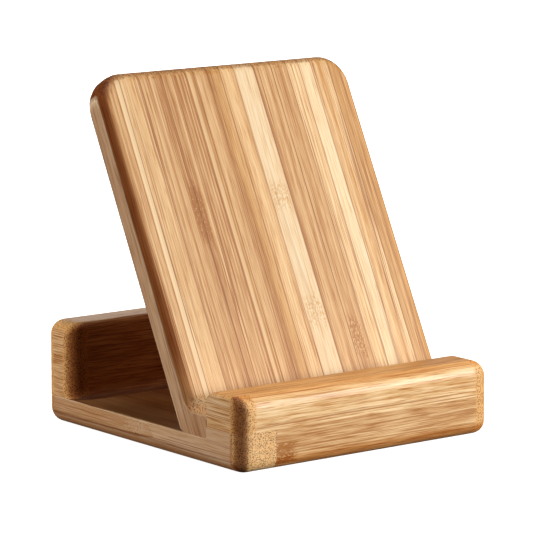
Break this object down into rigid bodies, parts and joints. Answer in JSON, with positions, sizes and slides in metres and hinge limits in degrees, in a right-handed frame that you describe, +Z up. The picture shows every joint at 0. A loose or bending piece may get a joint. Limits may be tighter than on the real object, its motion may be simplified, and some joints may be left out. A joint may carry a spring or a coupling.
{
  "type": "phone stand",
  "caption": "Laminated bamboo phone stand: a leaning back panel on a low tray with a front lip that forms a phone groove, and a raised rear bar.",
  "frame": {"origin": "middle of the footprint, on the surface that the stand rests on", "axes": "+Z up, -Y towards the user (the side with the lip), +X to the right as the user sees it"},
  "size_m": [0.088, 0.0904, 0.1],
  "materials": {
    "floor_bamboo": "oiled satin",
    "lip_bamboo": "oiled satin",
    "rear_bamboo": "oiled satin",
    "panel_cream": "oiled satin",
    "panel_honey": "oiled satin",
    "panel_tan": "oiled satin",
    "panel_brown": "oiled satin",
    "dowel_wood": "oiled satin"
  },
  "bodies": {
    "root": {"base_strip_1": "floor_bamboo", "base_strip_2": "floor_bamboo", "base_strip_3": "floor_bamboo", "base_strip_4": "floor_bamboo", "base_strip_5": "floor_bamboo", "base_strip_6": "floor_bamboo", "base_strip_7": "floor_bamboo", "lip_lower_rail": "lip_bamboo", "lip_upper_rail": "lip_bamboo", "rear_lower_rail": "rear_bamboo", "rear_upper_rail": "rear_bamboo", "panel_strip_1": "panel_tan", "panel_strip_2": "panel_honey", "panel_strip_3": "panel_tan", "panel_strip_4": "panel_tan", "panel_strip_5": "panel_brown", "panel_strip_6": "panel_tan", "panel_strip_7": "panel_brown", "panel_strip_8": "panel_honey", "panel_strip_9": "panel_cream", "panel_strip_10": "panel_tan", "panel_strip_11": "panel_tan", "panel_strip_12": "panel_honey", "panel_strip_13": "panel_cream", "panel_strip_14": "panel_honey", "panel_strip_15": "panel_brown", "lip_dowels": "dowel_wood", "rear_dowels": "dowel_wood"}
  },
  "joints": []
}
